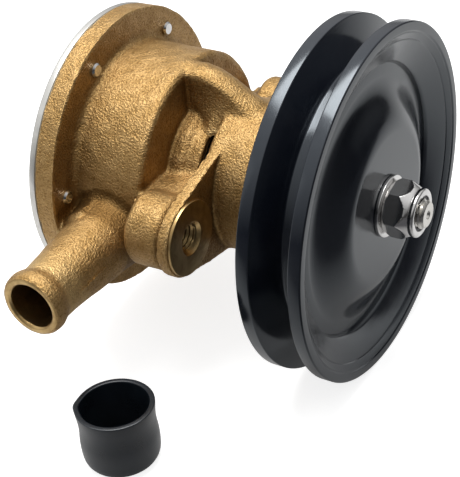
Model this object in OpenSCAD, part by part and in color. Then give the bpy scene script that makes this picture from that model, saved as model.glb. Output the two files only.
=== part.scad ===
// Flexible impeller pump, driven by a V belt, with one protective cap taken off.
// The shaft lies along X and the pulley is at the +X end. The origin is on the shaft axis,
// at the middle plane of the belt groove, and +Z is up. All lengths are millimetres.

/* [Pulley] */
// Outer diameter of the pulley
pulley_d = 120; // [110:1:140]
// Overall width across both rims
pulley_w = 22; // [20:0.5:26]
// Width of the round land on each side of the belt groove
rim_land = 4.3; // [3.5:0.1:5]
// Depth of the belt groove below the rim
groove_depth = 13; // [10:0.5:14]
// Width of the flat floor of the belt groove
groove_floor_w = 4.4; // [3:0.1:5]
// Radial width of the flat ring on each outer face
face_ring_w = 3; // [2:0.5:4]
// Thickness of the dished web between hub and rim
pulley_web_t = 5; // [4:0.1:6]
// Diameter of the raised flat disc in the middle of the front
hub_disc_d = 49.5; // [46:0.5:54]
// How far the raised disc stands in front of the rim
hub_disc_rise = 0.5; // [0:0.1:2]
// Outer diameter of the hub sleeve
hub_d = 26; // [24:0.5:28]
// Gap between the bearing housing and the back of the pulley
pulley_gap = 1.5; // [1:0.1:3]

/* [Shaft and nut] */
// Diameter of the shaft in the bearings
shaft_d = 17; // [16.6:0.1:17.6]
// Diameter of the shaft under the pulley
pulley_seat_d = 16; // [15:0.1:16.4]
// Diameter of the shaft inside the impeller
impeller_seat_d = 15; // [13:0.5:16]
// Diameter of the threaded end
thread_d = 10; // [8:0.5:11]
// Width of the keys
key_w = 5; // [4:0.5:6]
// Outer diameter of the flat washer
washer_d = 21; // [19.5:0.5:24]
// Thickness of the flat washer
washer_t = 1.4; // [1:0.1:2.5]
// Width across the flats of the lock nut
nut_flats = 17; // [16:0.5:19]
// Height of the hexagon of the lock nut
nut_hex_h = 8.8; // [8:0.1:9.5]
// Height of the round collar of the lock nut
nut_collar_h = 2.1; // [2:0.1:3.5]
// Outer diameter of the round collar
nut_collar_d = 16.3; // [14.5:0.1:16.8]
// Length of the threaded end in front of the collar
shaft_end_out = 2; // [0.5:0.1:3]

/* [Bearings] */
// Outer diameter of both ball bearings
bearing_d = 35; // [34:0.5:36]
// Width of each ball bearing
bearing_w = 10; // [9:0.5:11]
// Length of the spacer between the bearings
bearing_gap = 5.8; // [4:0.1:8]
// Diameter of the bearing balls
ball_d = 4.8; // [4.4:0.1:5]
// Number of balls in each bearing
ball_count = 10; // [8:1:11]
// Outer diameter of the bearing housing
bearing_housing_d = 52.6; // [48:0.5:56]
// Thickness of the wall behind the rear bearing
bearing_wall = 3; // [3:0.1:5]
// Thickness of the ring that holds the front bearing in
circlip_t = 1.5; // [1:0.1:1.8]

/* [Mounting plate] */
// Thickness of the plate that joins the two lugs
plate_t = 5; // [4:0.5:7]
// Distance between the two lug holes
lug_pitch = 83.4; // [80:0.2:88]
// Diameter of the rounded ends of the plate
lug_d = 26.4; // [24:0.2:28]
// Diameter of the machined lug faces
lug_face_d = 25.4; // [23:0.2:26]
// Height of the machined lug faces above the plate
lug_face_h = 1; // [0.5:0.1:2]
// Wall diameter of the lug holes, which take a 10 mm thread
lug_hole_d = 8.6; // [8:0.1:9]
// Depth of the lug holes
lug_hole_depth = 16; // [12:0.5:17]

/* [Pump casting] */
// Diameter of the flange and its cover
flange_d = 101; // [100:0.5:106]
// Thickness of the flange
flange_t = 7.1; // [6:0.1:9]
// Diameter of the round pump body
dome_d = 77; // [76:0.5:79]
// Length of the pump body in front of the flange
dome_len = 27; // [26.5:0.5:30]
// Length of the seal housing in front of the pump body
neck_len = 8.2; // [7.5:0.1:10]
// Diameter of the seal housing
neck_d = 47; // [44:0.5:50]
// Length of the open drain gap between seal housing and bearing housing
drain_gap = 6.8; // [6:0.1:9]
// Diameter of the round space that the slinger turns in
drain_d = 42; // [40:0.5:44]
// Diameter of the impeller chamber
chamber_d = 64; // [62:0.5:66]
// Thickness of the wall behind the impeller chamber
chamber_wall = 6.5; // [6:0.1:8]
// Thickness of the web above the drain gap
web_t = 10; // [8:0.5:12]

/* [Hose tails] */
// Angle between the two hose tails
tail_spread = 155; // [150:1:158]
// Length from the shaft axis to the end of a hose tail
tail_len = 83.5; // [76:0.5:84]
// Diameter of the bead at the end
tail_bead_d = 22.4; // [22:0.1:22.6]
// Diameter of the neck behind the bead
tail_neck_d = 20.2; // [19.6:0.1:21]
// Diameter where the tail leaves the body
tail_root_d = 27; // [24:0.5:28]
// Diameter of the bore through the tail
tail_bore_d = 16; // [14:0.5:17]
// Distance of the tail's axis from the shaft axis
tail_offset = 9.5; // [8:0.5:10.5]
// Distance of the tail's axis in front of the flange
tail_ahead = 12.5; // [12:0.5:13.5]

/* [Cover and screws] */
// Thickness of the end cover
cover_t = 2.5; // [2:0.1:4]
// Thickness of the paper gasket
gasket_t = 0.4; // [0.3:0.1:0.6]
// Number of cover screws
screw_count = 6; // [5:1:6]
// Radius of the circle that the screws stand on
screw_circle_r = 43.4; // [43:0.1:44.5]
// Turn of the first screw from the horizontal
screw_turn = 54; // [50:1:58]
// Diameter of the screws
screw_d = 5; // [4:0.1:5.4]
// Diameter of the screw heads
screw_head_d = 8.6; // [8:0.1:9.6]
// Height of the screw heads
screw_head_h = 2.6; // [2:0.1:3]
// How far the screw tips stand out of the flange
screw_tip = 1.2; // [0.2:0.1:2]

/* [Impeller and seal] */
// Number of impeller vanes
vane_count = 8; // [6:1:9]
// Thickness of an impeller vane
vane_t = 3; // [2.4:0.1:3.6]
// Diameter of the rubber hub of the impeller
impeller_hub_d = 34; // [32:0.5:36]
// Depth of the cam at its middle
cam_depth = 5; // [4:0.5:6]
// Thickness of the wear plate behind the impeller
wear_plate_t = 1; // [0.8:0.1:1.4]
// Diameter of the slinger on the shaft
slinger_d = 37; // [34:0.5:39]
// Thickness of the slinger
slinger_t = 3.2; // [2.6:0.1:3.6]

/* [Cap] */
// Diameter of the cap across its rim
cap_rim_d = 27; // [26:0.5:28]
// Diameter of the cap at its waist
cap_waist_d = 25.4; // [25:0.1:26.4]
// Inner diameter of the cap
cap_bore_d = 23; // [22.8:0.1:23.2]
// Height of the cap
cap_h = 22.5; // [18:0.5:26]
// Thickness of the bottom of the cap
cap_floor_t = 2; // [1.6:0.1:3]

/* [Hidden] */

// Roundness of large and small curves, and small lengths used throughout
fn_round = 96;
fn_small = 48;
arc_steps = 6;
over = 0.5;
run_gap = 0.05;
free_gap = 0.3;
thread_gap = 0.05;
edge_chamfer = 0.6;

bronze = [0.72, 0.56, 0.33];
bare_steel = [0.78, 0.78, 0.77];
brass = [0.75, 0.62, 0.35];
black_paint = [0.05, 0.06, 0.08];
black_rubber = [0.06, 0.06, 0.07];
ceramic = [0.9, 0.89, 0.86];
paper = [0.55, 0.5, 0.4];

// Radii of the main bodies
pulley_r = pulley_d / 2;
shaft_r = shaft_d / 2;
pulley_seat_r = pulley_seat_d / 2;
impeller_seat_r = impeller_seat_d / 2;
thread_r = thread_d / 2;
bearing_r = bearing_d / 2;
ball_r = ball_d / 2;
bearing_housing_r = bearing_housing_d / 2;
chamber_r = chamber_d / 2;
dome_r = dome_d / 2;
flange_r = flange_d / 2;
neck_r = neck_d / 2;
lug_r = lug_d / 2;
lug_hole_r = lug_hole_d / 2;
screw_r = screw_d / 2;
screw_head_r = screw_head_d / 2;

// Planes along the shaft, from the pulley end to the cover
pulley_front = pulley_w / 2;
pulley_rear = -pulley_front;
hub_face = pulley_front + hub_disc_rise;
washer_face = hub_face + washer_t;
nut_collar_x = washer_face + nut_hex_h;
nut_end = nut_collar_x + nut_collar_h;
shaft_end = nut_end + shaft_end_out;
housing_front = pulley_rear - pulley_gap;
circlip_lip = 1.2;
circlip_x = housing_front - circlip_lip - circlip_t;
front_bearing_x = circlip_x - bearing_w;
rear_bearing_front = front_bearing_x - bearing_gap;
rear_bearing_x = rear_bearing_front - bearing_w;
plate_rear = rear_bearing_x - bearing_wall;
plate_front = plate_rear + plate_t;
lug_face = plate_front + lug_face_h;
neck_front = plate_rear - drain_gap;
dome_back = neck_front - neck_len;
flange_front = dome_back - dome_len;
flange_back = flange_front - flange_t;
gasket_back = flange_back - gasket_t;
cover_back = gasket_back - cover_t;
chamber_rear = dome_back - chamber_wall;
wear_face = chamber_rear - wear_plate_t;
impeller_end = gasket_back + free_gap;
shaft_back = impeller_end + free_gap;

// Points of an arc about (cx, cy), as [radius, place along the shaft]
function arc(cx, cy, r, from, to) =
    [for (i = [0:arc_steps]) let (a = from + (to - from) * i / arc_steps)
        [cx + r * cos(a), cy + r * sin(a)]];

// A solid of revolution about the shaft, from points [radius, x]
module turned(points, fn = fn_round) {
    rotate([0, 90, 0]) rotate_extrude($fn = fn) polygon(points);
}

// A round bar along the shaft, between two planes
module bar(x0, x1, r, fn = fn_round) {
    translate([x0, 0, 0]) rotate([0, 90, 0]) cylinder(h = x1 - x0, r = r, $fn = fn);
}

// A ring along the shaft, with an inner and an outer radius
module ring(x0, x1, r_in, r_out, fn = fn_round) {
    turned([[r_in, x0], [r_out, x0], [r_out, x1], [r_in, x1]], fn);
}

// Turns children to point outward from the shaft, at an angle from +Y towards +Z
module outward(x, turn) {
    rotate([turn, 0, 0]) translate([x, 0, 0]) rotate([-90, 0, 0]) children();
}

module at_screw(i) {
    rotate([screw_turn + 360 * i / screw_count, 0, 0]) translate([0, screw_circle_r, 0]) children();
}

// The cam lies midway between the two hose tails, below the shaft
half_spread = tail_spread / 2;
cam_turn = 180 + half_spread;
tail_x = flange_front + tail_ahead;
module at_tail(side) {
    rotate([cam_turn - side * half_spread, 0, 0])
        translate([tail_x, 0, side * tail_offset]) rotate([-90, 0, 0]) children();
}

// Outside of one hose tail: straight root, flare, neck, then a bead with a rounded nose
tail_neck_r = tail_neck_d / 2;
tail_bead_r = tail_bead_d / 2;
tail_root_r = tail_root_d / 2;
tail_bore_r = tail_bore_d / 2;
// The full bore stops short of the chamber, and a throat that is a little narrower goes on into it
throat_step = 1;
throat_r = tail_bore_r - throat_step;
throat_wall = 4;
throat_len = chamber_r + throat_wall;
tail_start = 19;
tail_straight_end = 35;
tail_flare_end = 52;
tail_taper = 1;
bead_slope_w = 3.4;
bead_land_w = 1.7;
bead_nose_r = 1.5;
module tail_outside() {
    taper_r = tail_neck_r + tail_taper;
    flare = tail_root_r - taper_r;
    nose_w = bead_nose_r + edge_chamfer;
    land = tail_len - nose_w - bead_land_w;
    rotate_extrude($fn = fn_round) polygon(concat(
        [[0, tail_start], [tail_root_r, tail_start], [tail_root_r, tail_straight_end]],
        [for (i = [1:arc_steps]) let (s = i / arc_steps)
            [tail_root_r - flare * (1 - pow(1 - s, 2)),
             tail_straight_end + (tail_flare_end - tail_straight_end) * s]],
        [[tail_neck_r, land - bead_slope_w]],
        [for (p = arc(tail_bead_r - bead_nose_r, land, bead_nose_r, -45, 0)) p],
        [for (p = arc(tail_bead_r - bead_nose_r, tail_len - nose_w, bead_nose_r, 0, 60)) p],
        [[tail_bead_r - bead_nose_r + edge_chamfer, tail_len - edge_chamfer / 2],
         [tail_bead_r - bead_nose_r + edge_chamfer / 2, tail_len], [0, tail_len]]));
}

// Thickened foot that joins a hose tail to the flange
pad_edge = 1.2;
module tail_pad() {
    cylinder(h = flange_r - pad_edge, r = tail_root_r - edge_chamfer, $fn = fn_round);
}

// Round pump body behind the drain gap, with its flange
flange_edge = 0.8;
flange_back_edge = 0.25;
dome_fillet = 4.5;
dome_round = 3.5;
dome_belly = 1;
module body_of_revolution() {
    side_from = flange_front + dome_fillet;
    side_to = dome_back - dome_round;
    turned(concat(
        [[0, flange_back], [flange_r - flange_back_edge, flange_back],
         [flange_r, flange_back + flange_back_edge], [flange_r, flange_front - flange_edge],
         [flange_r - flange_edge, flange_front]],
        arc(dome_r + dome_fillet, side_from, dome_fillet, 270, 180),
        [for (i = [1:arc_steps - 1]) let (s = i / arc_steps)
            [dome_r + dome_belly * sin(180 * s), side_from + (side_to - side_from) * s]],
        arc(dome_r - dome_round, side_to, dome_round, 0, 90),
        [[0, dome_back]]));
    bar(dome_back - over, neck_front, neck_r);
}

// Bearing housing with a chamfered front edge
housing_edge = 1.6;
module bearing_tube() {
    turned([[0, plate_rear], [bearing_housing_r, plate_rear],
        [bearing_housing_r, housing_front - housing_edge],
        [bearing_housing_r - housing_edge, housing_front], [0, housing_front]]);
}

// Crowned web over the drain gap, from the top of the pump body to the bearing housing
web_reach = 8.5;
web_low_r = 14;
web_crown_w = 2;
web_crown_h = 0.8;
web_crowns = 3;
ridge_shares = [[0, 1], [0.16, 1.015], [0.32, 0.9864], [0.55, 0.9], [0.75, 0.8], [0.88, 0.73], [1, 0.665]];
module top_web() {
    from = dome_back - over;
    reach = plate_front + web_reach - from;
    for (i = [0:web_crowns - 1]) let (t = web_t - web_crown_w * i, low = web_crown_h * (web_crowns - 1 - i))
        translate([0, t / 2, 0]) rotate([90, 0, 0]) linear_extrude(height = t)
            polygon(concat([[from, web_low_r]],
                [for (s = ridge_shares) [from + reach * s[0], dome_r * s[1] - low]],
                [[from + reach, web_low_r]]));
}

// Flat plate whose straight sides touch the round ends and a circle a little inside the round middle
lug_y = lug_pitch / 2;
plate_waist_step = 3.3;
module plate_outline() {
    waist_r = bearing_housing_r - plate_waist_step;
    lean = acos((waist_r - lug_r) / lug_y);
    circle(r = bearing_housing_r, $fn = fn_round);
    for (s = [-1, 1]) {
        translate([0, s * lug_y]) circle(r = lug_r, $fn = fn_round);
        polygon([
            [waist_r * sin(lean), s * waist_r * cos(lean)],
            [lug_r * sin(lean), s * (lug_y + lug_r * cos(lean))],
            [-lug_r * sin(lean), s * (lug_y + lug_r * cos(lean))],
            [-waist_r * sin(lean), s * waist_r * cos(lean)]]);
    }
}

// Lug boss behind the plate, its machined face, and the side web behind it
boss_step = 0.8;
boss_r = lug_r - boss_step;
boss_back = 2;
boss_round = 3;
side_web_h = 17;
side_web_low = 8;
lug_chamfer = 1.4;
module lug_and_web(s) {
    boss_x = dome_back + boss_back;
    translate([0, s * lug_y, 0]) {
        turned(concat([[0, boss_x]], arc(boss_r - boss_round, boss_x + boss_round, boss_round, 270, 360),
            [[boss_r, plate_rear + over], [0, plate_rear + over]]));
        bar(plate_front - over, lug_face, lug_face_d / 2);
    }
    translate([dome_back - over, s > 0 ? 0 : -lug_y, -side_web_low])
        cube([plate_rear - dome_back + 2 * over, lug_y, side_web_h]);
}

neck_lip = 1.5;
neck_lip_gap = 1.5;
seal_pocket_r = 13;
wall_hole_r = 11.4;
bearing_relief = 0.6;
circlip_groove_depth = 1.2;
cam_screw_ahead = 8;
cam_screw_x = flange_front + cam_screw_ahead;
cam_screw_r = 2.5;
cam_screw_head_r = 4.4;
cam_screw_boss_r = 6.5;
cam_screw_boss_h = 2.5;
cam_screw_seat = dome_r + cam_screw_boss_h;

module casting_outside() {
    difference() {
        union() {
            body_of_revolution();
            bearing_tube();
            top_web();
            for (s = [-1, 1]) lug_and_web(s);
            translate([plate_rear, 0, 0]) rotate([0, 90, 0])
                linear_extrude(height = plate_t) plate_outline();
        }
        bar(neck_front, plate_rear, drain_d / 2);
    }
    for (side = [-1, 1]) {
        at_tail(side) tail_outside();
        intersection() {
            at_tail(side) tail_pad();
            bar(flange_back, dome_back - over, flange_r - pad_edge);
        }
    }
    outward(cam_screw_x, cam_turn) cylinder(h = cam_screw_seat, r = cam_screw_boss_r, $fn = fn_small);
}

// Chamber, seal pocket and bearing bores along the shaft
module shaft_bores() {
    bar(flange_back - over, chamber_rear, chamber_r);
    bar(chamber_rear - over, neck_front - neck_lip, seal_pocket_r);
    bar(neck_front - neck_lip - over, neck_front + over, shaft_r + neck_lip_gap);
    bar(plate_rear - over, rear_bearing_x + over, wall_hole_r);
    bar(rear_bearing_x, housing_front + over, bearing_r);
    ring(rear_bearing_front, front_bearing_x, bearing_r - over, bearing_r + bearing_relief);
    ring(circlip_x, circlip_x + circlip_t, bearing_r - over, bearing_r + circlip_groove_depth);
}

// A bore with a chamfered mouth, drilled from its mouth at h down along its own axis
module chamfered_bore(h, depth, r, chamfer, fn) {
    translate([0, 0, h - depth]) cylinder(h = depth + over, r = r, $fn = fn);
    translate([0, 0, h - chamfer])
        cylinder(h = chamfer + over, r1 = r, r2 = r + chamfer + over, $fn = fn);
}

module pump_body() {
    color(bronze) difference() {
        casting_outside();
        shaft_bores();
        for (side = [-1, 1]) at_tail(side) {
            chamfered_bore(tail_len, tail_len - throat_len, tail_bore_r, edge_chamfer, fn_round);
            cylinder(h = throat_len + over, r = throat_r, $fn = fn_round);
        }
        for (s = [-1, 1]) translate([0, s * lug_y, 0]) rotate([0, 90, 0])
            chamfered_bore(lug_face, lug_hole_depth, lug_hole_r, lug_chamfer, fn_small);
        for (i = [0:screw_count - 1]) at_screw(i)
            bar(flange_back - over, flange_front + over, screw_r + thread_gap, fn_small);
        outward(cam_screw_x, cam_turn)
            cylinder(h = cam_screw_seat + over, r = cam_screw_r + thread_gap, $fn = fn_small);
    }
}

// Static pieces in the wet end
wear_lip = 0.4;
module wear_plate() {
    color(bare_steel) ring(wear_face, chamber_rear, seal_pocket_r - wear_lip, chamber_r - free_gap);
}

// The cam is what a large circle leaves of the chamber's round
cam_flatness = 1.9;
module cam() {
    cut_r = chamber_r * cam_flatness;
    color(bronze) difference() {
        translate([flange_back, 0, 0]) rotate([cam_turn, 0, 0]) rotate([0, 90, 0])
            linear_extrude(height = wear_face - flange_back) difference() {
                circle(r = chamber_r, $fn = fn_round);
                translate([0, chamber_r - cam_depth - cut_r]) circle(r = cut_r, $fn = fn_round);
            }
        outward(cam_screw_x, cam_turn)
            cylinder(h = chamber_r + over, r = cam_screw_r + thread_gap, $fn = fn_small);
    }
}

// Slot across the head of a screw that points along +Z
slot_w = 1.2;
slot_share = 0.5;
module slot(head_r, top) {
    depth = screw_head_h * slot_share;
    translate([-head_r - over, -slot_w / 2, top - depth]) cube([2 * (head_r + over), slot_w, depth + over]);
}

module cam_screw() {
    tip = chamber_r - cam_depth + free_gap;
    color(bare_steel) outward(cam_screw_x, cam_turn) difference() {
        union() {
            translate([0, 0, tip]) cylinder(h = cam_screw_seat - tip + over, r = cam_screw_r, $fn = fn_small);
            translate([0, 0, cam_screw_seat])
                cylinder(h = screw_head_h, r = cam_screw_head_r, $fn = fn_small);
        }
        slot(cam_screw_head_r, cam_screw_seat + screw_head_h);
    }
}

module cover_gasket() {
    color(paper) difference() {
        ring(gasket_back, flange_back, chamber_r, flange_r - free_gap);
        for (i = [0:screw_count - 1]) at_screw(i)
            bar(gasket_back - over, flange_back + over, screw_r + free_gap, fn_small);
    }
}

cover_edge = 0.5;
module end_cover() {
    color(bare_steel) difference() {
        turned([[0, cover_back], [flange_r - cover_edge, cover_back], [flange_r, cover_back + cover_edge],
            [flange_r, gasket_back], [0, gasket_back]]);
        for (i = [0:screw_count - 1]) at_screw(i)
            bar(cover_back - over, gasket_back + over, screw_r + free_gap, fn_small);
    }
}

head_round = 0.9;
module cover_screws() {
    head_back = cover_back - screw_head_h;
    tip = flange_front + screw_tip;
    color(bare_steel) for (i = [0:screw_count - 1]) at_screw(i) difference() {
        union() {
            turned([[0, cover_back - over], [screw_r, cover_back - over], [screw_r, tip - edge_chamfer],
                [screw_r - edge_chamfer, tip], [0, tip]], fn_small);
            turned(concat([[0, head_back]],
                arc(screw_head_r - head_round, head_back + head_round, head_round, 270, 360),
                [[screw_head_r, cover_back], [0, cover_back]]), fn_small);
        }
        rotate([0, -90, 0]) slot(screw_head_r, -head_back);
    }
}

// Face seal: a fixed seat in the casting and a sprung ring on the shaft
seat_t = 4;
seat_gap = 0.7;
seat_front = neck_front - neck_lip;
seat_back = seat_front - seat_t;
carbon_t = 2.5;
carbon_w = 2;
carbon_back = seat_back - carbon_t;
bellows_t = 1.1;
bellows_r = shaft_r + bellows_t;
bellows_foot = 2;
thrust_ring_t = 0.6;
thrust_ring_x = wear_face + thrust_ring_t / 2;
thrust_ring_r = seal_pocket_r - wear_lip - free_gap;
module seal_seat() {
    color(ceramic) ring(seat_back, seat_front, shaft_r + seat_gap, seal_pocket_r);
}
module seal_carbon() {
    color(black_rubber) ring(carbon_back, seat_back, bellows_r, bellows_r + carbon_w);
}
module seal_bellows() {
    color(black_rubber) {
        ring(carbon_back - bellows_foot, seat_back - seat_gap, shaft_r, bellows_r);
        ring(carbon_back - bellows_foot, carbon_back, bellows_r - run_gap, bellows_r + carbon_w);
    }
}
module spring_washer_ring() {
    color(bare_steel) ring(thrust_ring_x, thrust_ring_x + thrust_ring_t, shaft_r, thrust_ring_r);
}

// One wire wound about the shaft, worked out by a formula
spring_wire_r = 0.5;
spring_inset = 0.7;
spring_turns = 3;
spring_sides = 6;
spring_rings = 8;
module seal_spring() {
    steps = spring_turns * spring_rings;
    low = thrust_ring_x + thrust_ring_t + spring_wire_r;
    rise = carbon_back - bellows_foot - spring_wire_r - low;
    coil_r = bellows_r + carbon_w - spring_inset;
    points = [for (i = [0:steps]) let (a = 360 * i / spring_rings, x = low + rise * i / steps)
        for (j = [0:spring_sides - 1]) let (b = 360 * j / spring_sides, r = coil_r + spring_wire_r * cos(b))
            [x + spring_wire_r * sin(b), r * cos(a), r * sin(a)]];
    sides = [for (i = [0:steps - 1]) for (j = [0:spring_sides - 1])
        let (k = (j + 1) % spring_sides, p = i * spring_sides, q = p + spring_sides)
            each [[p + j, q + j, q + k], [p + j, q + k, p + k]]];
    last = steps * spring_sides;
    ends = [for (j = [1:spring_sides - 2]) each [[0, j, j + 1], [last, last + j + 1, last + j]]];
    color(bare_steel) polyhedron(points = points, faces = concat(sides, ends));
}

// Ball bearings: two races, a row of balls and a cage in each
race_t = 2.9;
ball_circle_r = (shaft_r + bearing_r) / 2;
cage_half_t = 0.7;
cage_half_w = 3.2;
module race(x0, r_in, r_out) {
    rotate([0, 90, 0]) rotate_extrude($fn = fn_round) difference() {
        translate([r_in, x0]) square([r_out - r_in, bearing_w]);
        translate([ball_circle_r, x0 + bearing_w / 2]) circle(r = ball_r + run_gap, $fn = fn_small);
    }
}
module balls(x0) {
    for (i = [0:ball_count - 1]) rotate([360 * i / ball_count, 0, 0])
        translate([x0 + bearing_w / 2, ball_circle_r, 0]) sphere(r = ball_r, $fn = fn_small);
}
module cage(x0) {
    middle = x0 + bearing_w / 2;
    reach = cage_half_t + over;
    difference() {
        ring(middle - cage_half_w, middle + cage_half_w,
            ball_circle_r - cage_half_t, ball_circle_r + cage_half_t);
        for (i = [0:ball_count - 1]) rotate([360 * i / ball_count, 0, 0])
            translate([middle, ball_circle_r - reach, 0]) rotate([-90, 0, 0])
                cylinder(h = 2 * reach, r = ball_r + run_gap, $fn = fn_small);
    }
}
module rear_bearing_outer() { color(bare_steel) race(rear_bearing_x, bearing_r - race_t, bearing_r); }
module front_bearing_outer() { color(bare_steel) race(front_bearing_x, bearing_r - race_t, bearing_r); }
module rear_bearing_inner() { color(bare_steel) race(rear_bearing_x, shaft_r, shaft_r + race_t); }
module front_bearing_inner() { color(bare_steel) race(front_bearing_x, shaft_r, shaft_r + race_t); }
module rear_bearing_balls() { color(bare_steel) balls(rear_bearing_x); }
module front_bearing_balls() { color(bare_steel) balls(front_bearing_x); }
module rear_bearing_cage() { color(brass) cage(rear_bearing_x); }
module front_bearing_cage() { color(brass) cage(front_bearing_x); }

spacer_t = 2.2;
module bearing_spacer() {
    color(bare_steel) ring(rear_bearing_front, front_bearing_x, shaft_r, shaft_r + spacer_t);
}

grease_seal_t = 1.65;
module grease_seal() {
    color(black_rubber)
        ring(plate_rear + run_gap, plate_rear + run_gap + grease_seal_t, shaft_r + run_gap, wall_hole_r);
}

// Spring rings that hold the bearings, each with its gap at the top
clip_band = 2.2;
housing_clip_gap = 6;
shaft_clip_gap = 4;
shaft_clip_t = 1;
shaft_clip_depth = 0.5;
module open_ring(x0, t, r_in, r_out, gap) {
    difference() {
        ring(x0, x0 + t, r_in, r_out);
        translate([x0 - over, -gap / 2, 0]) cube([t + 2 * over, gap, r_out + over]);
    }
}
module housing_circlip() {
    color(bare_steel) open_ring(circlip_x, circlip_t, bearing_r - clip_band,
        bearing_r + circlip_groove_depth, housing_clip_gap);
}
module shaft_circlip() {
    color(bare_steel) open_ring(rear_bearing_x - shaft_clip_t, shaft_clip_t, shaft_r - shaft_clip_depth,
        shaft_r + clip_band, shaft_clip_gap);
}

// Keys, each half sunk in the shaft and lying along it between two planes
key_sink = key_w / 2;
impeller_key_h = 4;
pulley_key_h = 4.5;
key_margin = 5;
pulley_key_margin = 3.5;
module key(x0, x1, seat_r, h) {
    translate([x0, -key_w / 2, seat_r - key_sink]) cube([x1 - x0, key_w, h]);
}
module impeller_key_shape(h) {
    key(impeller_end + key_margin, wear_face - key_margin, impeller_seat_r, h);
}
module pulley_key_shape(h) {
    key(pulley_rear + pulley_key_margin, pulley_front - pulley_key_margin, pulley_seat_r, h);
}
module impeller_key() { color(bare_steel) impeller_key_shape(impeller_key_h); }
module pulley_key() { color(bare_steel) pulley_key_shape(pulley_key_h); }

// Shaft with its two key slots, circlip groove, threaded end and centre hole
end_chamfer = 0.8;
seat_step = 0.5;
centre_mouth_r = 1.5;
centre_drill_r = 0.75;
centre_cone_h = 1.4;
centre_depth = 4.5;
module shaft() {
    seat_end = hub_face - seat_step;
    color(bare_steel) difference() {
        turned([[0, shaft_back], [impeller_seat_r - end_chamfer, shaft_back],
            [impeller_seat_r, shaft_back + end_chamfer], [impeller_seat_r, thrust_ring_x],
            [shaft_r, thrust_ring_x], [shaft_r, circlip_x], [pulley_seat_r, circlip_x],
            [pulley_seat_r, seat_end], [thread_r, seat_end],
            [thread_r, shaft_end - end_chamfer], [thread_r - end_chamfer, shaft_end], [0, shaft_end]]);
        ring(rear_bearing_x - shaft_clip_t, rear_bearing_x, shaft_r - shaft_clip_depth, shaft_r + over);
        impeller_key_shape(key_w);
        pulley_key_shape(key_w);
        turned([[0, shaft_end + over], [centre_mouth_r, shaft_end + over], [centre_mouth_r, shaft_end],
            [centre_drill_r, shaft_end - centre_cone_h], [centre_drill_r, shaft_end - centre_depth],
            [0, shaft_end - centre_depth - centre_drill_r]], fn_small);
    }
}

// Impeller: a keyed metal bush moulded into rubber, with the vanes bent where the cam is
bush_t = 4;
bush_r = impeller_seat_r + bush_t;
vane_bead_share = 0.75;
vane_root_sink = 1.5;
vane_tip_share = 0.8;
bend_reach = 42;
bend_turn = 20;
vane_bead_r = vane_t * vane_bead_share;
vane_tip_r = chamber_r - free_gap - vane_bead_r;
module impeller_bush() {
    color(brass) difference() {
        ring(impeller_end, thrust_ring_x, impeller_seat_r, bush_r);
        impeller_key_shape(impeller_key_h);
    }
}
module vane(turn) {
    from_cam = abs((turn - cam_turn + 540) % 360 - 180);
    bent = from_cam < bend_reach;
    root = (impeller_hub_d / 2 - vane_root_sink) * [cos(turn), sin(turn)];
    tip_turn = turn + (bent ? bend_turn : 0);
    tip = (bent ? vane_tip_r - cam_depth : vane_tip_r) * [cos(tip_turn), sin(tip_turn)];
    along = tip - root;
    side = [-along[1], along[0]] / norm(along) * vane_t / 2;
    polygon([root - side, tip - side * vane_tip_share, tip + side * vane_tip_share, root + side]);
    translate(tip) circle(r = vane_bead_r, $fn = fn_small);
}
// The outline is drawn in y and z, then raised along x
module impeller() {
    color(black_rubber) translate([impeller_end, 0, 0]) multmatrix([[0, 0, 1, 0], [1, 0, 0, 0], [0, 1, 0, 0]])
        linear_extrude(height = wear_face - free_gap - impeller_end) difference() {
            union() {
                circle(r = impeller_hub_d / 2, $fn = fn_round);
                for (i = [0:vane_count - 1]) vane(cam_turn + 360 * i / vane_count);
            }
            circle(r = bush_r, $fn = fn_round);
        }
}

// Slinger in the drain gap, with a thin washer behind it
slinger_washer_t = 0.5;
slinger_edge = 1;
slinger_washer_inset = 1.3;
slinger_r = slinger_d / 2;
slinger_x = neck_front + (drain_gap - slinger_t) / 2;
module slinger() {
    color(black_rubber) turned([[shaft_r, slinger_x], [slinger_r - slinger_edge, slinger_x],
        [slinger_r, slinger_x + slinger_edge], [slinger_r, slinger_x + slinger_t - slinger_edge],
        [slinger_r - slinger_edge, slinger_x + slinger_t], [shaft_r, slinger_x + slinger_t]]);
}
module slinger_washer() {
    color(bare_steel)
        ring(slinger_x - slinger_washer_t, slinger_x, shaft_r, slinger_r - slinger_washer_inset);
}

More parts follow.
